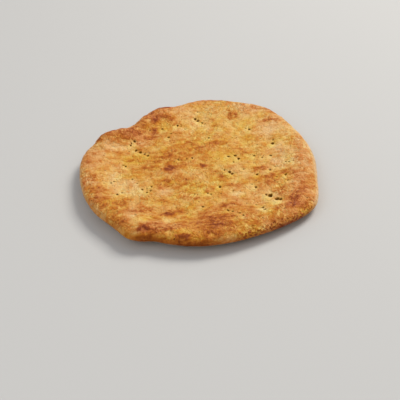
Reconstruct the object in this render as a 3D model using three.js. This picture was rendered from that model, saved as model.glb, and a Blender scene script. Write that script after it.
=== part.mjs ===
// Naan bread: one leavened flatbread, shaped by hand, pricked in the middle and baked in one piece.
// Millimetres, +Z up. The bread lies on its underside, and the origin is on the surface it rests on,
// under the middle of its outline. +Y runs along the longest way of the bread and +X across it.
import * as THREE from 'three';
import { mergeVertices } from 'three/addons/utils/BufferGeometryUtils.js';

// Driving dimensions, millimetres.
const LENGTH = 245;
const WIDTH = 219;
const MIDDLE_THICKNESS = 10;
const RIM_THICKNESS = 13;
const RIM_WIDTH = 26;

// The dough is shaped from a round bread of the same size.
const ROUND_RADIUS = (WIDTH + LENGTH) / 4;

// The rounded edge: its widest line is below half height, and the crust above it turns in more gently.
const WIDEST_HEIGHT = 5.5;
const EDGE_TURN_BELOW = 9;
const EDGE_TURN_ABOVE = 14;

// The flat that the bread rests on, and how far the edge has curled up from it on its highest side.
const REST_RADIUS = 68;
const EDGE_CURL = 9;
const CURL_DIRECTION = THREE.MathUtils.degToRad(222);

// How finely the bread is divided: sectors round it, steps round its rounded edge, rings on its faces.
const SECTORS = 128;
const EDGE_STEPS = 8;
const UNDERSIDE_RINGS = 3;
const TOP_RINGS = 9;
const SEAM_TOLERANCE = 0.001;

const CRUST_COLOUR = 0xd39a50;
const CRUST_ROUGHNESS = 0.7;

// The outline seen from above, anticlockwise from the right-hand side. The dough was stretched by hand:
// straight on the right, drawn out at the front left, and gathered in three short folds at the back left.
const OUTLINE_POINTS = [
  [109, 1], [107, 20], [101, 44], [93, 64], [82, 86], [70, 101], [53, 110], [30, 117], [11, 120],
  [-3, 117], [-12, 112], [-19, 107], [-32, 105], [-41, 100], [-50, 89], [-58, 77], [-66, 68], [-78, 63],
  [-88, 58], [-94, 50], [-98, 41], [-104, 31], [-108, 16], [-108, -2], [-106, -22], [-101, -44],
  [-91, -67], [-80, -82], [-71, -94], [-63, -105], [-51, -110], [-42, -110], [-27, -116], [-3, -121],
  [24, -118], [50, -109], [77, -95], [96, -79], [103, -66], [106, -42], [108, -20],
];

// Places where the top has puffed up or sunk in baking: centre, height above the plain crust, and spread.
const SWELLS = [
  { x: -84, y: 49, height: 5, spread: 13 },
  { x: -70, y: 57, height: 4, spread: 10 },
  { x: -50, y: 82, height: 3, spread: 12 },
  { x: -30, y: 95, height: 4, spread: 13 },
  { x: -70, y: 36, height: -2, spread: 12 },
  { x: -42, y: 60, height: -2, spread: 11 },
  { x: -12, y: 25, height: 2, spread: 26 },
  { x: 60, y: -20, height: 1.5, spread: 14 },
  { x: 78, y: -67, height: 2, spread: 15 },
  { x: 12, y: -91, height: 2.5, spread: 18 },
  { x: -48, y: -92, height: 3, spread: 13 },
  { x: 60, y: -60, height: -1.5, spread: 12 },
  { x: -30, y: -42, height: -1.5, spread: 14 },
];

// Half of a slice through a round, uncurled bread: from the middle of the underside, out round the edge,
// and back to the middle of the top. x is the distance from the middle and y is the height.
function plainSlice() {
  const slice = [new THREE.Vector2(0, 0)];
  for (let i = 0; i <= UNDERSIDE_RINGS; i += 1) {
    const x = THREE.MathUtils.lerp(REST_RADIUS, ROUND_RADIUS - EDGE_TURN_BELOW, i / UNDERSIDE_RINGS);
    slice.push(new THREE.Vector2(x, 0));
  }
  for (let i = 1; i <= EDGE_STEPS; i += 1) {
    const turn = Math.PI * (i / EDGE_STEPS - 0.5);
    const reach = turn < 0 ? EDGE_TURN_BELOW : EDGE_TURN_ABOVE;
    const rise = turn < 0 ? WIDEST_HEIGHT : RIM_THICKNESS - WIDEST_HEIGHT;
    const x = ROUND_RADIUS - reach * (1 - Math.cos(turn));
    slice.push(new THREE.Vector2(x, WIDEST_HEIGHT + rise * Math.sin(turn)));
  }
  const crest = ROUND_RADIUS - EDGE_TURN_ABOVE;
  for (let i = 1; i <= TOP_RINGS; i += 1) {
    const x = crest * (1 - i / TOP_RINGS);
    const rim = 1 - THREE.MathUtils.smoothstep(crest - x, 0, RIM_WIDTH);
    slice.push(new THREE.Vector2(x, THREE.MathUtils.lerp(MIDDLE_THICKNESS, RIM_THICKNESS, rim)));
  }
  return slice;
}

// Evenly spaced points round the outline, one to a sector, stretched to the stated width and length.
function breadOutline() {
  const handPlaced = OUTLINE_POINTS.map(([x, y]) => new THREE.Vector3(x, y, 0));
  const points = new THREE.CatmullRomCurve3(handPlaced, true).getSpacedPoints(SECTORS).slice(0, SECTORS);
  const box = new THREE.Box3().setFromPoints(points);
  const middle = box.getCenter(new THREE.Vector3());
  const size = box.getSize(new THREE.Vector3());
  const stretch = new THREE.Vector3(WIDTH / size.x, LENGTH / size.y, 1);
  return points.map((point) => point.sub(middle).multiply(stretch));
}

// How far the top stands above the plain crust at a point, from all the swells together.
function puff(x, y) {
  let height = 0;
  for (const swell of SWELLS) {
    const distance = Math.hypot(x - swell.x, y - swell.y) / swell.spread;
    height += swell.height * Math.exp(-distance * distance);
  }
  return height;
}

// Moves each point of a plain round bread out to the outline, curls the edge up and puffs the top.
function shapeByHand(geometry) {
  const outline = breadOutline();
  const place = geometry.attributes.position;
  for (let i = 0; i < place.count; i += 1) {
    const direction = Math.atan2(place.getY(i), place.getX(i));
    const sector = Math.round((direction / (2 * Math.PI)) * SECTORS + SECTORS) % SECTORS;
    const reach = Math.hypot(place.getX(i), place.getY(i));
    const spot = outline[sector].clone().multiplyScalar(reach / ROUND_RADIUS);
    const upper = THREE.MathUtils.smoothstep(place.getZ(i), 0, RIM_THICKNESS);
    const highSide = 0.5 + 0.5 * Math.cos(direction - CURL_DIRECTION);
    const curled = THREE.MathUtils.smoothstep(reach, REST_RADIUS, ROUND_RADIUS + RIM_WIDTH);
    const rise = EDGE_CURL * highSide * curled + puff(spot.x, spot.y) * upper;
    place.setXYZ(i, spot.x, spot.y, Math.max(place.getZ(i), 0) + rise);
  }
  return geometry;
}

function naanBread() {
  const turned = new THREE.LatheGeometry(plainSlice(), SECTORS);
  turned.rotateX(Math.PI / 2);
  turned.deleteAttribute('normal');
  turned.deleteAttribute('uv');
  const geometry = shapeByHand(mergeVertices(turned, SEAM_TOLERANCE));
  geometry.computeVertexNormals();
  const crust = new THREE.MeshStandardMaterial({
    color: CRUST_COLOUR,
    roughness: CRUST_ROUGHNESS,
    metalness: 0,
  });
  const bread = new THREE.Mesh(geometry, crust);
  bread.name = 'naan_bread';
  return bread;
}

const naan = new THREE.Group();
naan.add(naanBread());

export default naan;
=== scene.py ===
import math

import bmesh
import bpy
import numpy as np
from mathutils import Matrix, Vector


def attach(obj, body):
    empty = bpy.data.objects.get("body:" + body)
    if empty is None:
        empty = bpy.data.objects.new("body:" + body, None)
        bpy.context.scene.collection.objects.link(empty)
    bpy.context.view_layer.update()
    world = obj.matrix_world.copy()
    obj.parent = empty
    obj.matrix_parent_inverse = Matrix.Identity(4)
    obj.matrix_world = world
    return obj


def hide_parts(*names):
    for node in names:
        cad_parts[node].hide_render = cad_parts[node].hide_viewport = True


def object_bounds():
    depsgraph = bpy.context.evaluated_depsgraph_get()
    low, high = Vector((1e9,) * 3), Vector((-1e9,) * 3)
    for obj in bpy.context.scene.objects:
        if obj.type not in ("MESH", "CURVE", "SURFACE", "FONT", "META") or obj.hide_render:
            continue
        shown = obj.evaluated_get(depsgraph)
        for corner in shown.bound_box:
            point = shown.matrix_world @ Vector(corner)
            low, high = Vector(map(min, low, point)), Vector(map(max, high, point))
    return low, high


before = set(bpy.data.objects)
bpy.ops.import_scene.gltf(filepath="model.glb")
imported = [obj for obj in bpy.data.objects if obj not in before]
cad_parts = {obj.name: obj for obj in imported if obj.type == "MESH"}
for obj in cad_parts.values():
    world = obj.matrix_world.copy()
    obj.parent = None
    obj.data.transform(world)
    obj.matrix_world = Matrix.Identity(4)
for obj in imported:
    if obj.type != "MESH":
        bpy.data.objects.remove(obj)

cad_low, cad_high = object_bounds()
scene = bpy.context.scene
scene.view_settings.view_transform = "Standard"

# ---- Camera ------------------------------------------------------------------------------------
# Looks down at the bread from its front at about 35 degrees, held slightly out of level, through a
# long lens. It stands in front of the middle of the outline, a hair to the right.
bread_length = cad_high.y - cad_low.y
camera_distance = 3.349 * bread_length
camera_height = 2.204 * bread_length
camera_aside = 0.0003
camera_tilt = math.radians(34.75)
camera_roll = math.radians(-3.87)

camera = bpy.data.objects.new("camera", bpy.data.cameras.new("camera"))
camera.data.lens = 94.9
camera.data.sensor_width = 36
camera.data.dof.use_dof = False
camera.location = (camera_aside, -camera_distance, camera_height)
aim = Matrix.Rotation(math.pi / 2 - camera_tilt, 3, "X") @ Matrix.Rotation(camera_roll, 3, "Z")
camera.rotation_euler = aim.to_euler()
scene.collection.objects.link(camera)
scene.camera = camera

# ---- Naan bread --------------------------------------------------------------------------------
# One leaf of yeasted wheat dough, pulled out by hand to a rough oval with a fat rim, pricked in rows
# with a fork and baked flat. The top browns wherever it puffs up; the underside stays pale and floury.

# The bread's lengths are in millimetres, and MM turns them into the scene's metres.
MM = 0.001
SKIN_STEP = 1.2
FLOUR_CELLS = 64

cad_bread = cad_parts["naan_bread"]
bread = bpy.data.objects.new("naan_bread_baked", cad_bread.data.copy())
scene.collection.objects.link(bread)


def bake_modifiers_in(piece):
    graph = bpy.context.evaluated_depsgraph_get()
    shaped = bpy.data.meshes.new_from_object(piece.evaluated_get(graph))
    piece.modifiers.clear()
    piece.data = shaped


dough = bmesh.new()
dough.from_mesh(bread.data)
bmesh.ops.remove_doubles(dough, verts=dough.verts, dist=0.01 * MM)
dough.to_mesh(bread.data)
dough.free()
rounding = bread.modifiers.new("rounding", "SUBSURF")
rounding.levels = 2
skin = bread.modifiers.new("skin", "REMESH")
skin.mode = "VOXEL"
skin.voxel_size = SKIN_STEP * MM
settling = bread.modifiers.new("settling", "SMOOTH")
settling.factor = 0.5
settling.iterations = 8
bake_modifiers_in(bread)


def points_of(mesh):
    """The mesh's points, in millimetres."""
    co = np.empty(len(mesh.vertices) * 3, np.float32)
    mesh.vertices.foreach_get("co", co)
    return co.reshape(-1, 3).astype(float) / MM


def normals_of(mesh):
    """The way that the skin faces at every point."""
    no = np.empty(len(mesh.vertices) * 3, np.float32)
    mesh.vertex_normals.foreach_get("vector", no)
    return no.reshape(-1, 3).astype(float)


def ease(low, high, value):
    """Rises smoothly from 0 at low to 1 at high."""
    share = np.clip((value - low) / (high - low), 0, 1)
    return share * share * (3 - 2 * share)


flour = np.random.default_rng(11).uniform(-1, 1, (FLOUR_CELLS,) * 3)


def lumps(points, size, layer=0):
    """A smooth random field, mostly from -1 to 1, in lumps of the size given, longer than wide."""
    turn = np.array(Matrix.Rotation(1.1 * layer + 0.6, 3, Vector((1, 2, 3))))
    place = points * (1, 0.7, 1) @ turn / size + 17.3 * layer + 400
    cell = np.floor(place).astype(int)
    part = place - cell
    part = part * part * (3 - 2 * part)
    total = np.zeros(len(points))
    for corner in np.ndindex(2, 2, 2):
        share = np.prod(np.where(corner, part, 1 - part), axis=1)
        x, y, z = ((cell + corner) % FLOUR_CELLS).T
        total += share * flour[x, y, z]
    return 1.5 * total


# Fork pricks: where each tine went in, and how wide its hole stayed after baking.
pricks = [
    (-57.4, 33.8, 1.3), (-53.2, 30.2, 1.6), (-49.2, 26.2, 1.0), (-46.0, 22.8, 1.3),
    (-58.0, 46.8, 1.1), (-61.5, 44.2, 0.8), (-62.6, 41.4, 1.0), (-25.8, 51.4, 1.2),
    (-23.8, 57.8, 0.9), (-16.6, 73.0, 1.2), (-13.2, 71.0, 0.8), (-9.6, 66.2, 0.8),
    (-32.2, 67.6, 1.0), (-66.6, 7.4, 1.1), (-68.6, 9.4, 0.8), (-17.0, 10.6, 0.9),
    (-9.6, 11.4, 0.9), (-4.2, 12.2, 1.1), (1.0, 84.6, 1.2), (3.4, 81.8, 1.2),
    (7.4, 77.8, 1.1), (10.2, 74.6, 0.9), (3.8, 95.0, 0.8), (52.6, 57.0, 1.2),
    (49.4, 59.6, 0.8), (72.6, 28.6, 1.5), (73.8, 33.6, 0.8), (13.0, 47.0, 1.0),
    (35.0, 45.8, 0.7), (29.4, 11.8, 1.1), (36.0, 13.0, 1.1), (39.0, 7.8, 1.4),
    (34.0, 2.0, 0.9), (53.2, 11.0, 1.2), (60.5, 5.5, 0.9), (69.0, 7.8, 1.1),
    (58.2, 29.8, 0.7), (-76.0, -20.2, 1.0), (-79.2, -23.4, 0.9), (-84.8, -26.2, 0.7),
    (-59.8, -16.2, 0.9), (-55.4, -23.0, 0.8), (-50.6, -34.2, 1.1), (-47.0, -33.0, 0.7),
    (-42.2, -29.8, 1.1), (-43.4, -37.0, 0.9), (-46.6, -39.8, 1.0), (-72.6, -44.6, 1.1),
    (-68.6, -40.6, 0.8), (-56.4, -80.2, 1.0), (-21.0, -66.2, 0.7), (-4.2, -46.6, 0.8),
    (24.2, -10.6, 0.9), (28.8, -14.2, 1.5), (31.2, -17.4, 1.4), (42.2, -12.6, 0.8),
    (53.6, -22.2, 1.2), (65.8, -16.2, 1.1), (71.0, -11.8, 0.7), (79.0, -27.8, 1.2),
    (71.0, -28.6, 0.8), (81.6, -6.2, 0.9), (84.2, -7.8, 0.9), (88.4, -7.0, 0.8),
    (80.2, -36.6, 0.8), (19.0, -37.0, 1.3), (30.2, -45.4, 0.8), (7.8, -47.0, 0.9),
    (10.6, -48.6, 0.9), (51.0, -41.0, 1.2), (48.2, -36.6, 0.8), (59.0, -53.4, 1.0),
    (62.6, -56.0, 2.0), (67.2, -63.4, 1.9), (69.8, -66.4, 2.0), (53.8, -78.2, 1.2),
    (55.6, -82.8, 1.1), (48.8, -70.6, 0.8), (23.8, -77.4, 1.2), (27.6, -80.6, 1.1),
    (33.4, -85.4, 1.3), (36.4, -91.0, 1.2), (2.6, -67.4, 1.0), (13.6, -78.6, 0.7),
]


def split_near_pricks(mesh, reach):
    """Halves the faces of the top that lie within reach hole widths of a prick."""
    body = bmesh.new()
    body.from_mesh(mesh)
    tines = np.array(pricks)
    chosen = set()
    for face in body.faces:
        if face.normal.z < 0.5:
            continue
        middle = face.calc_center_median() / MM
        away = np.hypot(tines[:, 0] - middle.x, tines[:, 1] - middle.y)
        if np.any(away < reach * tines[:, 2] + 0.3):
            chosen.update(face.edges)
    bmesh.ops.subdivide_edges(body, edges=list(chosen), cuts=1, use_grid_fill=True)
    body.to_mesh(mesh)
    body.free()


split_near_pricks(bread.data, 2.6)
split_near_pricks(bread.data, 1.6)

spots = points_of(bread.data)
facing = normals_of(bread.data)
flat_spots = spots * (1, 1, 0)
top = ease(0.1, 0.6, facing[:, 2])
under = ease(0.3, 0.8, -facing[:, 2])
rim = ease(0.98, 0.7, facing[:, 2]) * top

# How far in from the outline every point lies, and its bearing from the middle, in degrees: the right
# side is at 0, the back at 90 and the front at -90.
radius = np.hypot(spots[:, 0], spots[:, 1])
bearing = np.degrees(np.arctan2(spots[:, 1], spots[:, 0]))
outline = np.zeros(361)
np.maximum.at(outline, np.round(bearing).astype(int) + 180, radius)
inset = np.interp(bearing + 180, np.arange(361), outline) - radius


def between(start, end, value, fade=8):
    """One inside the stretch from start to end, falling to nothing over the fade outside it."""
    return ease(start - fade, start, value) * ease(end + fade, end, value)


# Hand-stretched dough is never even: broad swells, smaller lumps, and a fine grain on the crust.
blisters = np.maximum(lumps(spots, 3.2, 2), 0) ** 1.5
grain = 0.6 * lumps(spots, 5, 3) + 0.4 * lumps(spots, 2.6, 4)
front_right = between(-72, -34, bearing) * between(-3, 5, inset, 9)
back_left = between(122, 158, bearing) * between(0, 26, inset, 8)
lift = 0.35 + top * ease(0, 18, inset) * (0.6 * lumps(flat_spots, 24) + 0.5 * lumps(flat_spots, 11, 1))
lift += (0.3 + 0.7 * top) * 0.36 * grain
lift += (0.25 + 0.4 * rim + 0.6 * front_right) * 0.5 * blisters * (1 - under)
lift += 0.2 * rim * lumps(spots, 8, 5)
wrinkles = lumps(np.stack([bearing * 1.8, radius * 0.25, 0 * radius], axis=1), 4, 6)
lift += 0.35 * back_left * wrinkles

# Each prick is a steep pit in a shallow dimple, with the dough heaped up on its near left side.
# Distances from a prick are in widths of its hole.
HOLE_SHORTENING = 0.75
HEAP_ASIDE = 1.5
HEAP_AHEAD = 2.8
HEAP_REACH = 1.3
DIMPLE_REACH = 2.4
DIMPLE_DEPTH = 0.5
PIT_DEPTH = 2.2
pit = np.zeros(len(spots))
shoulder = np.zeros(len(spots))
prick_highlight = np.zeros(len(spots))
wander = spots[:, :2] + 0.45 * np.stack([lumps(spots, 1.8, 7), lumps(spots, 1.8, 8)], axis=1)
for x, y, width in pricks:
    aside = wander[:, 0] - x
    ahead = wander[:, 1] - y
    away = np.hypot(aside, HOLE_SHORTENING * ahead) / width
    heap = np.hypot(aside + HEAP_ASIDE * width, HOLE_SHORTENING * (ahead + HEAP_AHEAD * width)) / width
    lift -= top * DIMPLE_DEPTH * width * np.exp(-((away / DIMPLE_REACH) ** 2))
    lift += top * DIMPLE_DEPTH * width * np.exp(-((heap / HEAP_REACH) ** 2))
    depth = min(max((width - 0.5) / 0.9, 0.25), 1)
    pit = np.maximum(pit, top * ease(1.1, 0.4, away) * depth)
    shoulder = np.maximum(shoulder, top * ease(1.5, 0.7, away) * (0.3 + 0.7 * depth))
    prick_highlight = np.maximum(prick_highlight, top * ease(3.0, 1.3, np.minimum(heap, away + 0.8)) * min(width, 1.3) / 1.3)
lift -= PIT_DEPTH * pit

spots += facing * lift[:, None]
spots[:, 2] = np.maximum(spots[:, 2], 0)
bread.data.vertices.foreach_set("co", (spots * MM).astype(np.float32).ravel())
bread.data.update()
bread.data.shade_smooth()

# The crust's colour comes in patches, each with its middle, half width, half length and strength.
# These have browned most.
browned = [
    (-25, -4, 7, 6.5, 1.0), (6, -2, 6, 4, 0.95), (-12, 17, 34, 15, 0.3), (-25, 21, 5, 5, 0.45),
    (-34, 17, 5, 3, 0.5), (-46, 15, 5, 3, 0.2), (-48, 0, 10, 5, 0.3), (-6, 38, 6, 5, 0.6),
    (1, 30, 6, 7, 0.35), (-12, 33, 5, 4, 0.45), (20, 37, 9, 3.5, 0.6), (-14, 2, 5, 4, 0.45),
    (12, 30, 9, 5, 0.25), (7, 54, 5, 4, 0.35), (39, 24, 6, 3, 0.45), (45, 17, 8, 3, 0.25),
    (24, -21, 6, 6, 0.65), (16, -14, 6, 4, 0.45), (56, -12, 6, 4, 0.65), (67, -28, 6, 5, 0.6),
    (66, -36, 8, 4, 0.45), (60, -28, 5, 4, 0.4), (80, -24, 7, 5, 0.55), (50, -30, 5, 5, 0.35),
    (32, -37, 9, 4, 0.5), (12, -42, 7, 5, 0.35), (-9, -24, 6, 5, 0.7), (-17, -23, 6, 5, 0.25),
    (-28, -24, 5, 5, 0.75), (-22, -32, 8, 4, 0.5), (-12, -30, 6, 5, 0.35), (-34, -31, 4, 6, 0.4),
    (-60, -5, 8, 6, 0.25), (-45, -12, 8, 4, 0.25), (-33, -53, 6, 6, 0.35), (-76, 29, 7, 2.5, 0.35),
    (-60, 16, 8, 4, 0.2), (-53, 34, 4, 5, 0.4), (-90, -38, 7, 5, 0.6), (-95, -20, 4, 12, 0.35),
    (-101, 9, 3, 4, 0.5), (-95, -52, 5, 10, 0.2), (-82, -63, 7, 6, 0.45), (-69, -61, 7, 6, 0.6),
    (-76, -72, 9, 5, 0.2), (-68, -91, 4, 5, 0.5), (-77, -92, 6, 8, 0.2), (-57, -73, 9, 7, 0.35),
    (-44, -68, 4, 4, 0.4), (-29, -76.5, 6.5, 4.5, 0.85), (-40, -86, 4, 5, 0.35), (-16, -96, 6, 5, 0.3),
    (-48, -103, 5, 4.5, 1.0), (-33, -106, 11, 4, 0.5), (-15, -116, 7, 3, 0.8), (10, -94, 15, 14, 0.6),
    (14, -107, 15, 7, 0.5), (28, -90, 8, 7, 0.45), (-20, -70, 6, 6, 0.4), (21, -70, 9, 5, 0.55),
    (43, -98, 7, 6, 0.15), (42, -78, 5, 6, 0.25), (81, -79, 9, 5, 0.7), (81, -68, 8, 7, 0.65),
    (88, -57, 7, 6, 0.35), (74, -49, 9, 6, 0.6), (69, -83, 5, 4, 0.5), (-5, -54, 6, 4, 0.5),
    (-78, 54, 19, 9, 0.7), (-61, 58, 8, 6, 0.75), (-54, 72, 9, 10, 0.6), (-38, 80, 4.5, 6, 1.0),
    (-26, 84, 10, 7, 0.5), (-40, 65, 4, 9, 0.7), (-47, 90, 8, 8, 0.7), (-32, 99, 12, 6, 0.75),
    (-46, 53, 12, 5, 0.55), (-48, 43, 9, 2.5, 0.3), (34, 95, 2.2, 3.5, 0.6), (37, 89, 2.5, 4, 0.7),
    (35, 82, 2, 4, 0.7), (41, 84, 2.2, 3, 0.5), (62, 95, 6, 4, 0.4), (74, 69, 10, 2.2, 0.8),
    (58, 57, 4, 4, 0.3), (92, 22, 5, 8, 0.2), (97, 6, 5, 14, 0.35), (21, 67, 3.5, 2.5, 0.45),
    (19, 79, 2, 2, 0.4), (36, 107, 5, 4, 0.2), (6, 111, 8, 5, 0.3), (22, 117, 10, 5, 0.5),
    (-89, 11, 6, 5, 0.45), (-88, -46, 6, 5, 0.35), (95, -62, 5, 6, 0.3), (90, -33, 6, 6, 0.35),
    (-38, -98, 7, 4, 0.35), (8, -114, 9, 3, 0.4), (25, -109, 8, 4, 0.5), (-14, -104, 6, 4, 0.4),
    (18, -52, 6, 4, 0.3), (95, -44, 5, 9, 0.3), (-90, 44, 6, 6, 0.6), (-72, 60, 9, 3.5, 0.6),
    (-57, 43, 6, 2.5, 0.5), (-46, 85, 5, 6, 0.5), (-32, 96, 6, 7, 0.4), (-14, 69, 7, 4, 0.3),
    (-5, 47, 5, 7, 0.35), (-20, 54, 9, 5, 0.2), (75, 97, 4, 9, 0.5), (81, 67, 4, 3, 0.5),
    (92, 28, 4, 6, 0.3), (50, 107, 7, 4, 0.25), (22, 89, 3, 5, 0.3), (-36, 8, 5, 3, 0.35),
    (-12, -44, 4, 5, 0.45), (26, -68, 8, 4, 0.35), (38, -63, 4, 4, 0.4), (-14, -73, 5, 5, 0.5),
    (55, -17, 4, 4, 0.35), (5, -79, 4, 4, 0.3), (64, -101, 9, 3, 0.3), (-87, -55, 6, 7, 0.35),
    (-98, -27, 4, 6, 0.3), (43, -90, 8, 5, 0.3), (21, 46, 4, 3, 0.4), (-98, 16, 5, 5, 0.3),
    (-22, 104, 5, 4, 0.3), (-35, 83, 5, 4, 0.4), (-50, 61, 6, 4, 0.3), (-18, 44, 6, 3, 0.25),
    (-14, 31, 4, 4, 0.25), (-2, -107, 5, 4, 0.3), (-78, 59, 7, 3, 0.4), (94, -8, 6, 5, 0.3),
    (-45, -50, 6, 4, 0.3), (-12, -50, 6, 5, 0.3),
]
# These stayed pale.
pale = [
    (-75, -25, 13, 17, 0.5), (-84, 14, 9, 8, 0.1), (-60, -38, 12, 7, 0.4), (-78, 37, 15, 4, 0.4),
    (-58, 39, 5, 4, 0.5), (3, 70, 15, 12, 0.55), (14, 90, 15, 9, 0.35), (44, 64, 17, 12, 0.4),
    (70, 53, 11, 12, 0.45), (82, -4, 10, 12, 0.5), (79, 22, 9, 9, 0.55), (55, 80, 12, 7, 0.3),
    (36, -51, 6, 4, 0.9), (45, -39, 5, 5, 0.75), (58, -57, 9, 6, 0.4), (68, -74, 6, 4, 0.5),
    (56, -82, 4, 9, 0.5), (-32, -41, 5, 6, 0.4), (-51, -89, 6, 6, 0.7), (-27, -89, 6, 5, 0.7),
    (42, -16, 7, 8, 0.5), (22, 8, 10, 9, 0.45), (-36, 32, 8, 5, 0.5), (36, -83, 4, 4, 0.35),
    (51, 30, 8, 8, 0.45), (-12, -62, 5, 7, 0.3), (92, 50, 5, 8, 0.4), (92, -86, 8, 6, 0.85),
    (-12, 106, 5, 4, 0.4), (-9, 95, 5, 6, 0.5), (26, 108, 7, 4, 0.4), (45, -66, 5, 5, 0.5),
    (0, 12, 5, 4, 0.4), (0, -44, 4, 4, 0.5), (-36, -60, 4, 4, 0.5), (-45, -28, 4, 6, 0.4),
    (16, 17, 7, 4, 0.35), (36, 14, 6, 4, 0.35), (23, 57, 5, 6, 0.4), (86, 33, 5, 4, 0.4),
    (-8, -80, 5, 7, 0.4), (14, -30, 7, 5, 0.35), (0, -90, 4, 4, 0.3), (55, -92, 5, 4, 0.4),
    (97, -78, 5, 6, 0.6), (38, -107, 12, 6, 0.35), (-50, -92, 6, 4, 0.4), (-40, -83, 4, 4, 0.3),
    (22, -5, 5, 7, 0.4), (37, -30, 5, 5, 0.5), (15, -34, 6, 3, 0.3), (-61, 5, 7, 5, 0.35),
    (-64, 19, 5, 5, 0.35), (-20, 17, 4, 4, 0.5), (-31, -2, 3, 9, 0.3), (-21, -27, 4, 4, 0.4),
    (62, 30, 7, 7, 0.3), (75, 14, 7, 5, 0.25), (65, 68, 5, 5, 0.3), (70, 80, 8, 4, 0.3),
    (-6, 84, 5, 8, 0.3), (-12, 98, 4, 5, 0.3), (58, -77, 5, 6, 0.3), (-84, -72, 6, 6, 0.3),
    (60, 5, 6, 5, 0.25), (105, 20, 4, 22, 0.35), (103, -68, 4, 8, 0.5), (28, 32, 6, 6, 0.25),
    (-14, -111, 5, 3, 0.4), (15, -87, 8, 4, 0.2), (17, 71, 5, 4, 0.3), (62, 77, 12, 5, 0.25),
    (36, 104, 8, 5, 0.3), (22, -62, 6, 3, 0.3), (-62, -68, 5, 3, 0.3), (-48, -60, 5, 3, 0.3),
    (-19, -67, 4, 4, 0.3), (-58, -8, 7, 6, 0.25), (-30, 36, 6, 4, 0.3), (60, -2, 6, 5, 0.3),
    (88, 20, 4, 6, 0.3), (52, -10, 3, 4, 0.3), (-75, 50, 7, 3, 0.3), (-83, 23, 10, 5, 0.35),
    (-104, 26, 4, 7, 0.3), (22, 18, 7, 4, 0.25), (-31, -12, 3, 8, 0.25),
]
# These have a pinkish brown cast.
pinkish = [
    (-70, -24, 14, 18, 0.7), (-24, -8, 12, 9, 0.9), (-32, -38, 9, 8, 0.9), (-60, -76, 6, 10, 0.8),
    (-39, -100, 13, 7, 0.9), (42, -54, 24, 13, 0.7), (88, -55, 9, 16, 0.7), (68, 54, 13, 13, 0.7),
    (76, 6, 9, 18, 0.7), (-98, 22, 10, 20, 0.9), (-78, 36, 16, 7, 0.8), (-48, 48, 9, 10, 0.7),
    (-36, 56, 7, 7, 0.5), (62, 98, 15, 9, 0.8), (4, 115, 14, 6, 0.5), (-48, 90, 14, 12, 0.8),
    (-60, -36, 12, 8, 0.6), (-18, -55, 8, 12, 0.5), (84, -78, 9, 6, 0.8), (20, -108, 12, 6, 0.5),
    (2, 75, 7, 7, 0.5), (-16, 64, 6, 6, 0.6), (80, 74, 9, 10, 0.6), (66, -36, 9, 7, 0.5),
    (22, -68, 12, 6, 0.6), (-84, 15, 9, 9, 0.4), (95, 0, 8, 20, 0.6), (-72, 60, 20, 12, 0.7),
    (-58, 28, 10, 5, 0.5), (-104, 18, 6, 14, 0.7), (72, 90, 6, 6, 0.8), (94, -36, 8, 12, 0.7),
    (80, -44, 7, 7, 0.4), (40, -65, 8, 5, 0.5), (0, -112, 8, 4, 0.6), (-22, 99, 14, 8, 0.6),
    (-48, -42, 9, 9, 0.4), (-10, -18, 8, 8, 0.4), (-106, 12, 5, 16, 0.8), (-52, 42, 10, 5, 0.5),
    (88, 56, 7, 12, 0.7), (45, -38, 6, 5, 0.6), (-86, 50, 6, 6, 0.6), (-58, -60, 6, 8, 0.5),
    (-86, -55, 5, 6, 0.6), (103, 0, 5, 20, 0.6), (40, 78, 6, 7, 0.5), (-62, 30, 6, 5, 0.5),
    (-28, -14, 8, 9, 0.6), (-32, -43, 7, 6, 0.6), (-53, 86, 6, 9, 0.7), (-35, 85, 6, 8, 0.6),
    (16, -77, 9, 5, 0.7), (68, 12, 5, 10, 0.6), (-97, -26, 5, 6, 0.6), (-70, 5, 6, 6, 0.5),
    (-80, -78, 5, 6, 0.5), (-50, -106, 8, 4, 0.8),
]
# These are a clear golden yellow.
goldish = [
    (-6, 26, 18, 16, 0.7), (2, -113, 60, 6, 0.8), (90, -84, 8, 8, 0.7), (-82, -57, 10, 7, 0.7),
    (44, 74, 8, 7, 0.5), (-59, 18, 9, 7, 0.9), (98, 58, 6, 9, 0.4), (30, 114, 16, 6, 0.8),
    (25, 38, 10, 6, 0.7), (-72, 50, 14, 5, 0.5), (-34, 72, 7, 8, 0.7), (18, -26, 9, 7, 0.6),
    (0, -36, 9, 9, 0.6), (-52, -87, 7, 7, 0.6), (-12, -86, 8, 8, 0.6), (60, -94, 10, 5, 0.5),
    (49, 44, 6, 5, 0.8), (90, 31, 4, 5, 0.5), (52, -60, 8, 7, 0.4), (2, 104, 7, 5, 0.6),
    (48, 110, 6, 6, 0.8), (20, 68, 4, 6, 0.6), (56, 60, 6, 5, 0.6), (78, -21, 6, 5, 0.8),
    (84, 4, 5, 10, 0.4), (44, -104, 16, 7, 0.6), (-28, -78, 9, 6, 0.5), (-76, -76, 8, 8, 0.5),
    (-86, -28, 6, 8, 0.5), (-62, -12, 7, 6, 0.7), (22, 10, 12, 10, 0.3), (-12, -100, 8, 8, 0.5),
    (5, 6, 8, 7, 0.6), (48, -8, 8, 6, 0.6), (30, -18, 6, 5, 0.3), (-72, -86, 7, 7, 0.7),
    (-28, -75, 7, 4, 0.5), (-40, -85, 5, 5, 0.5), (-88, -38, 7, 5, 0.6), (-97, -47, 5, 7, 0.5),
    (75, -66, 8, 6, 0.4), (64, -86, 6, 6, 0.5), (32, -110, 14, 6, 0.6), (-74, 48, 14, 4, 0.5),
    (-62, 17, 6, 4, 0.5), (98, -70, 6, 8, 0.4), (-30, 20, 6, 7, 0.5), (-8, -68, 6, 6, 0.4),
    (-22, -112, 8, 5, 0.6), (55, -12, 5, 5, 0.5),
]

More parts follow.
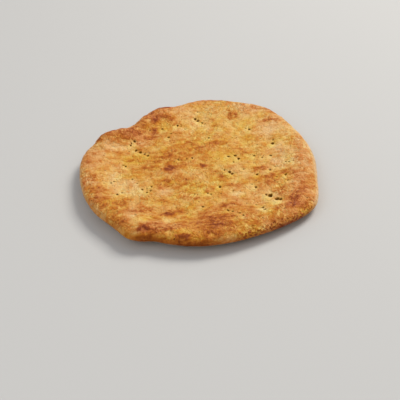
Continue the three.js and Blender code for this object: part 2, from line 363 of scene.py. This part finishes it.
# The patches are laid on places that wander by a millimetre or so, which frays their edges.
loose = flat_spots[:, :2] + 0.5 * np.stack([lumps(spots, 9, 7), lumps(spots, 9, 8)], axis=1)
loose += 1.0 * np.stack([lumps(spots, 3.5, 9), lumps(spots, 3.5, 10)], axis=1)


def patchwork(patches):
    """How strongly the patches cover each point, from 0 to 1, with edges that wander."""
    bare = np.ones(len(spots))
    for x, y, half_width, half_length, strength in patches:
        away = ((loose[:, 0] - x) / half_width) ** 2 + ((loose[:, 1] - y) / half_length) ** 2
        bare *= 1 - strength * np.exp(-(away ** 1.3))
    return 1 - bare


# Toasting runs from 0, pale, to 1, nearly burnt, and blush from 0, golden, to 1, pinkish brown. The thin
# edges on the far sides are paler, partly their own floury rim and partly a painted highlight, and the
# foot of the wall at the front is darker with painted shade.
mottle = 0.35 * lumps(spots, 7, 15) + 0.4 * lumps(spots, 3.2, 16) + 0.5 * grain + 0.3 * blisters
# Painted shade on the foot of the wall at the front, which faces away from the lamp.
front_wall_shade = between(-118, -92, bearing, 10) * ease(0.5, 0.95, -facing[:, 1])
right_foot = between(-88, -42, bearing, 8) * ease(0.3, -0.1, facing[:, 2])
scorched_foot = between(-54, -44, bearing, 6) * ease(0.4, 0, facing[:, 2])
# Edges turned towards the lamp or the bright room are paler and pinker: partly the rim's own floury
# colour, partly a painted highlight.
back_edge = ease(0.4, 0.55, facing[:, 1])
right_edge = ease(0.6, 0.9, facing[:, 0]) * ease(-0.6, -0.3, facing[:, 1])
left_edge = ease(0.5, 0.85, -facing[:, 0]) * ease(-0.4, -0.1, facing[:, 1])
pale_edge_and_highlight = np.maximum(np.maximum(back_edge, right_edge), left_edge)
# A painted highlight along the thin lip of the right side, where it catches the lamp.
right_lip_highlight = between(-32, 62, bearing, 8) * between(-1, 1.2, inset, 2.2) * ease(-0.5, 0, facing[:, 2])

toasted = patchwork(browned)
lively = 1 - 0.5 * ease(0.8, 0.35, facing[:, 2]) - 0.2 * front_right
toasting = 0.44 + 0.52 * toasted - 0.32 * patchwork(pale) + 0.12 * mottle * lively * (1 - 0.4 * toasted)
toasting += 0.03 * lumps(spots, 18, 17) + 0.08 * front_right * blisters
toasting += 0.06 * between(-3, 3, inset, 8) * (1 - pale_edge_and_highlight)
toasting += 0.3 * front_wall_shade + 0.08 * right_foot + 0.2 * scorched_foot - 0.12 * pale_edge_and_highlight
toasting -= 0.22 * right_lip_highlight
toasting += 0.07 * between(-68, -36, bearing) * between(4, 12, inset, 5)
toasting += 0.06 * ease(-40, -90, spots[:, 1])
# A painted highlight round each prick, strongest on its near left side: the crust is made paler and more
# golden there.
toasting -= 0.29 * prick_highlight
blush = 0.33 + 0.25 * lumps(spots, 16, 18) + 0.2 * lumps(spots, 6, 19) + 0.2 * ease(60, 105, radius)
blush += 0.7 * patchwork(pinkish) - 0.7 * patchwork(goldish) - 0.2 * prick_highlight
blush += 0.5 * pale_edge_and_highlight + 0.4 * right_foot + 0.1 * front_right - 0.5 * front_wall_shade
scorched = front_right * between(0, 1.5, inset, 2.5)
# The floury underside, together with part of the painted highlight on the right lip.
floury_and_highlight = np.maximum(ease(-0.6, -0.85, facing[:, 2]), 0.6 * right_lip_highlight)


def paint(name, values):
    layer = bread.data.attributes.new(name, "FLOAT", "POINT")
    layer.data.foreach_set("value", np.clip(values, 0, 1).astype(np.float32))


paint("toasting", toasting)
paint("blush", blush)
paint("pit", pit)
paint("shoulder", shoulder)
paint("floury_and_highlight", floury_and_highlight)
paint("scorched", scorched)
paint("upward", top)
paint("lively", lively)
paint("creased", ease(-0.1, 0.35, lumps(flat_spots, 20, 21)) * top)


def linear(red, green, blue):
    """A colour as the eye sees it, from 0 to 255, turned into the shader's light values."""
    shown = [value / 255 for value in (red, green, blue)]
    return tuple(v / 12.92 if v < 0.0404 else ((v + 0.055) / 1.055) ** 2.4 for v in shown) + (1,)


crust = bpy.data.materials.new("baked_crust")
crust.use_nodes = True
tree = crust.node_tree
shader = tree.nodes["Principled BSDF"]


def node(kind, **settings):
    made = tree.nodes.new(kind)
    for key, value in settings.items():
        setattr(made, key, value)
    return made


def wire(source, target):
    tree.links.new(source, target)


def painted(name):
    return node("ShaderNodeAttribute", attribute_name=name).outputs["Fac"]


def speckle(scale, detail, roughness):
    made = node("ShaderNodeTexNoise")
    made.inputs["Scale"].default_value = scale
    made.inputs["Detail"].default_value = detail
    made.inputs["Roughness"].default_value = roughness
    wire(drawn_out.outputs["Vector"], made.inputs["Vector"])
    return made.outputs["Fac"]


def maths(operation, first, second=0.0):
    made = node("ShaderNodeMath", operation=operation)
    for slot_index, value in enumerate((first, second)):
        if isinstance(value, (int, float)):
            made.inputs[slot_index].default_value = value
        else:
            wire(value, made.inputs[slot_index])
    return made.outputs[0]


def blend_colours(share, first, second):
    """The first colour where share is 0, the second where it is 1."""
    made = node("ShaderNodeMix", data_type="RGBA")
    share_socket, first_socket, second_socket = made.inputs[0], made.inputs[6], made.inputs[7]
    for value, socket in ((share, share_socket), (first, first_socket), (second, second_socket)):
        if isinstance(value, tuple):
            socket.default_value = value
        else:
            wire(value, socket)
    return made.outputs[2]


def ramp_through(share, stops):
    made = node("ShaderNodeValToRGB")
    wire(share, made.inputs["Fac"])
    points = made.color_ramp.elements
    while len(points) < len(stops):
        points.new(0.5)
    for point, (position, colour) in zip(points, stops):
        point.position = position
        point.color = linear(*colour)
    return made.outputs["Color"]


def centred(share, amount):
    """Swings to either side of nothing, by half the amount at most."""
    return maths("MULTIPLY", maths("SUBTRACT", share, 0.5), amount)


def blotches(coordinates, scale, distortion):
    """Patches with fairly crisp edges, from 0 to 1."""
    made = node("ShaderNodeTexNoise")
    made.inputs["Scale"].default_value = scale
    made.inputs["Detail"].default_value = 2
    made.inputs["Roughness"].default_value = 0.55
    made.inputs["Distortion"].default_value = distortion
    wire(coordinates, made.inputs["Vector"])
    edge = node("ShaderNodeMapRange", interpolation_type="SMOOTHSTEP")
    edge.inputs["From Min"].default_value = 0.38
    edge.inputs["From Max"].default_value = 0.62
    wire(made.outputs["Fac"], edge.inputs["Value"])
    return edge.outputs["Result"]


def fading(value, low, high):
    """One below low, nothing above high."""
    made = node("ShaderNodeMapRange", interpolation_type="SMOOTHSTEP")
    made.inputs["From Min"].default_value = low
    made.inputs["From Max"].default_value = high
    made.inputs["To Min"].default_value = 1
    made.inputs["To Max"].default_value = 0
    wire(value, made.inputs["Value"])
    return made.outputs["Result"]


# The crust's fine marks. The scales are in marks to the metre: 800 makes one every 1.2 mm or so.
place = node("ShaderNodeTexCoord")
drawn_out = node("ShaderNodeMapping")
drawn_out.inputs["Scale"].default_value = (1, 0.66, 1)
wire(place.outputs["Object"], drawn_out.inputs["Vector"])
drawn_wide = node("ShaderNodeMapping")
drawn_wide.inputs["Scale"].default_value = (0.7, 1, 1)
wire(place.outputs["Object"], drawn_wide.inputs["Vector"])
fine = speckle(800, 2, 0.5)
small = blotches(drawn_out.outputs["Vector"], 420, 0.6)
middling = blotches(drawn_wide.outputs["Vector"], 210, 0.5)
broad = blotches(drawn_wide.outputs["Vector"], 110, 0.6)
unevenness = maths("ADD", centred(fine, 0.32), centred(small, 0.13))
unevenness = maths("ADD", unevenness, centred(middling, 0.195))
unevenness = maths("ADD", unevenness, centred(broad, 0.06))

# Creases: thin pale lines that wander over the flat of the top.
wrinkle = node("ShaderNodeTexNoise")
wrinkle.inputs["Scale"].default_value = 150
wrinkle.inputs["Detail"].default_value = 1.5
wrinkle.inputs["Roughness"].default_value = 0.5
wrinkle.inputs["Distortion"].default_value = 0.8
wire(drawn_out.outputs["Vector"], wrinkle.inputs["Vector"])
off_crest = maths("ABSOLUTE", maths("SUBTRACT", wrinkle.outputs["Fac"], 0.5))
creases = maths("MULTIPLY", fading(off_crest, 0.0, 0.05), painted("creased"))

# Steam holes: a fine dark pore with a paler rim, in about a quarter of the cells.
steam_hole = node("ShaderNodeTexVoronoi", voronoi_dimensions="2D")
steam_hole.inputs["Scale"].default_value = 95
wire(place.outputs["Object"], steam_hole.inputs["Vector"])
steam_pick = node("ShaderNodeSeparateColor")
wire(steam_hole.outputs["Color"], steam_pick.inputs["Color"])
steam_kept = maths("GREATER_THAN", steam_pick.outputs["Red"], 0.72)
steam_kept = maths("MULTIPLY", steam_kept, painted("upward"))
pores = maths("MULTIPLY", fading(steam_hole.outputs["Distance"], 0.035, 0.075), steam_kept)
pore_rims = maths("MULTIPLY", fading(steam_hole.outputs["Distance"], 0.09, 0.17), steam_kept)

# Scorched flecks along the edge at the front right.
scorch = maths("MULTIPLY", fading(speckle(520, 1, 0.5), 0.38, 0.5), painted("scorched"))

# All of them darken or lighten the painted toasting, and the result picks the colour from two ramps.
liveliness = maths("ADD", maths("MULTIPLY", painted("toasting"), 0.85), 0.52)
liveliness = maths("MULTIPLY", liveliness, painted("lively"))
toast = maths("ADD", painted("toasting"), maths("MULTIPLY", unevenness, liveliness))
toast = maths("SUBTRACT", toast, maths("MULTIPLY", creases, 0.24))
toast = maths("SUBTRACT", toast, maths("MULTIPLY", pore_rims, 0.1))
toast = maths("ADD", toast, maths("MULTIPLY", pores, 0.5))
toast = maths("ADD", toast, maths("MULTIPLY", scorch, 0.35))
golden = ramp_through(toast, [
    (0.0, (233, 198, 104)), (0.25, (222, 176, 73)), (0.45, (210, 150, 48)),
    (0.62, (197, 123, 26)), (0.8, (176, 95, 8)), (1.0, (136, 62, 0)),
])
blushing = ramp_through(toast, [
    (0.0, (235, 200, 142)), (0.25, (226, 178, 115)), (0.45, (213, 152, 85)),
    (0.62, (200, 125, 55)), (0.8, (174, 92, 28)), (1.0, (129, 54, 10)),
])
warmth = maths("ADD", painted("blush"), centred(speckle(210, 3, 0.6), 0.7))
top_colour = blend_colours(warmth, golden, blushing)
# The prick shoulders and pits are painted dark brown: partly crust browned deeper in the pricks, partly
# painted shade down in the holes.
top_colour = blend_colours(painted("shoulder"), top_colour, linear(152, 98, 24))
top_colour = blend_colours(painted("pit"), top_colour, linear(98, 50, 2))
under_colour = blend_colours(speckle(160, 3, 0.6), linear(228, 190, 146), linear(200, 148, 100))
wire(blend_colours(painted("floury_and_highlight"), top_colour, under_colour), shader.inputs["Base Color"])

# The crust is greasy in places and dry in others, with no shine in the pricks.
dryness = node("ShaderNodeMapRange")
dryness.inputs["To Min"].default_value = 0.42
dryness.inputs["To Max"].default_value = 0.75
wire(middling, dryness.inputs["Value"])
wire(dryness.outputs["Result"], shader.inputs["Roughness"])
gloss = maths("MULTIPLY", maths("SUBTRACT", 1.0, painted("shoulder")), 0.2)
wire(gloss, shader.inputs["Specular IOR Level"])
shader.inputs["Subsurface Weight"].default_value = 0.05
shader.inputs["Subsurface Radius"].default_value = (1.0, 0.5, 0.2)
shader.inputs["Subsurface Scale"].default_value = 0.001

# The fine marks stand a little proud, and the creases with them; the steam holes are sunk.
bump = node("ShaderNodeBump")
bump.inputs["Strength"].default_value = 1.0
bump.inputs["Distance"].default_value = 0.0012
relief = maths("ADD", maths("MULTIPLY", fine, 0.5), maths("MULTIPLY", small, 0.35))
relief = maths("ADD", relief, maths("MULTIPLY", creases, 0.35))
relief = maths("SUBTRACT", relief, maths("MULTIPLY", pores, 0.6))
wire(maths("ADD", relief, maths("MULTIPLY", middling, 0.5)), bump.inputs["Height"])
wire(bump.outputs["Normal"], shader.inputs["Normal"])
bread.data.materials.clear()
bread.data.materials.append(crust)

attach(bread, "root")
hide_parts("naan_bread")

# ---- Floor and light ---------------------------------------------------------------------------
# A plain pale table top under a large soft lamp from the back right, with a weak one from the front
# left and an even pale sky, as in a room with one big window.
floor_mesh = bpy.data.meshes.new("floor")
half_side = 20 * bread_length
corners = [(-half_side, -half_side, 0), (half_side, -half_side, 0)]
corners += [(half_side, half_side, 0), (-half_side, half_side, 0)]
floor_mesh.from_pydata(corners, [], [(0, 1, 2, 3)])
floor = bpy.data.objects.new("floor", floor_mesh)
scene.collection.objects.link(floor)
table_top = bpy.data.materials.new("table_top")
table_top.use_nodes = True
table_shader = table_top.node_tree.nodes["Principled BSDF"]
table_shader.inputs["Base Color"].default_value = (0.545, 0.535, 0.51, 1)
table_shader.inputs["Roughness"].default_value = 0.8
floor.data.materials.append(table_top)


def soft_lamp(name, where, size, power, colour):
    lamp = bpy.data.objects.new(name, bpy.data.lights.new(name, "AREA"))
    lamp.data.size = size
    lamp.data.energy = power
    lamp.data.color = colour
    lamp.location = where
    lamp.rotation_euler = (-Vector(where)).to_track_quat("-Z", "Y").to_euler()
    scene.collection.objects.link(lamp)


soft_lamp("window", (1.3, 1.1, 1.8), 1.1, 52, (1.0, 0.97, 0.93))
soft_lamp("room_fill", (-0.7, -0.8, 0.8), 0.9, 3.5, (0.95, 0.97, 1.0))
sky = bpy.data.worlds.new("sky")
sky.use_nodes = True
sky.node_tree.nodes["Background"].inputs["Color"].default_value = (0.93, 0.95, 1.0, 1)
sky.node_tree.nodes["Background"].inputs["Strength"].default_value = 0.5
scene.world = sky
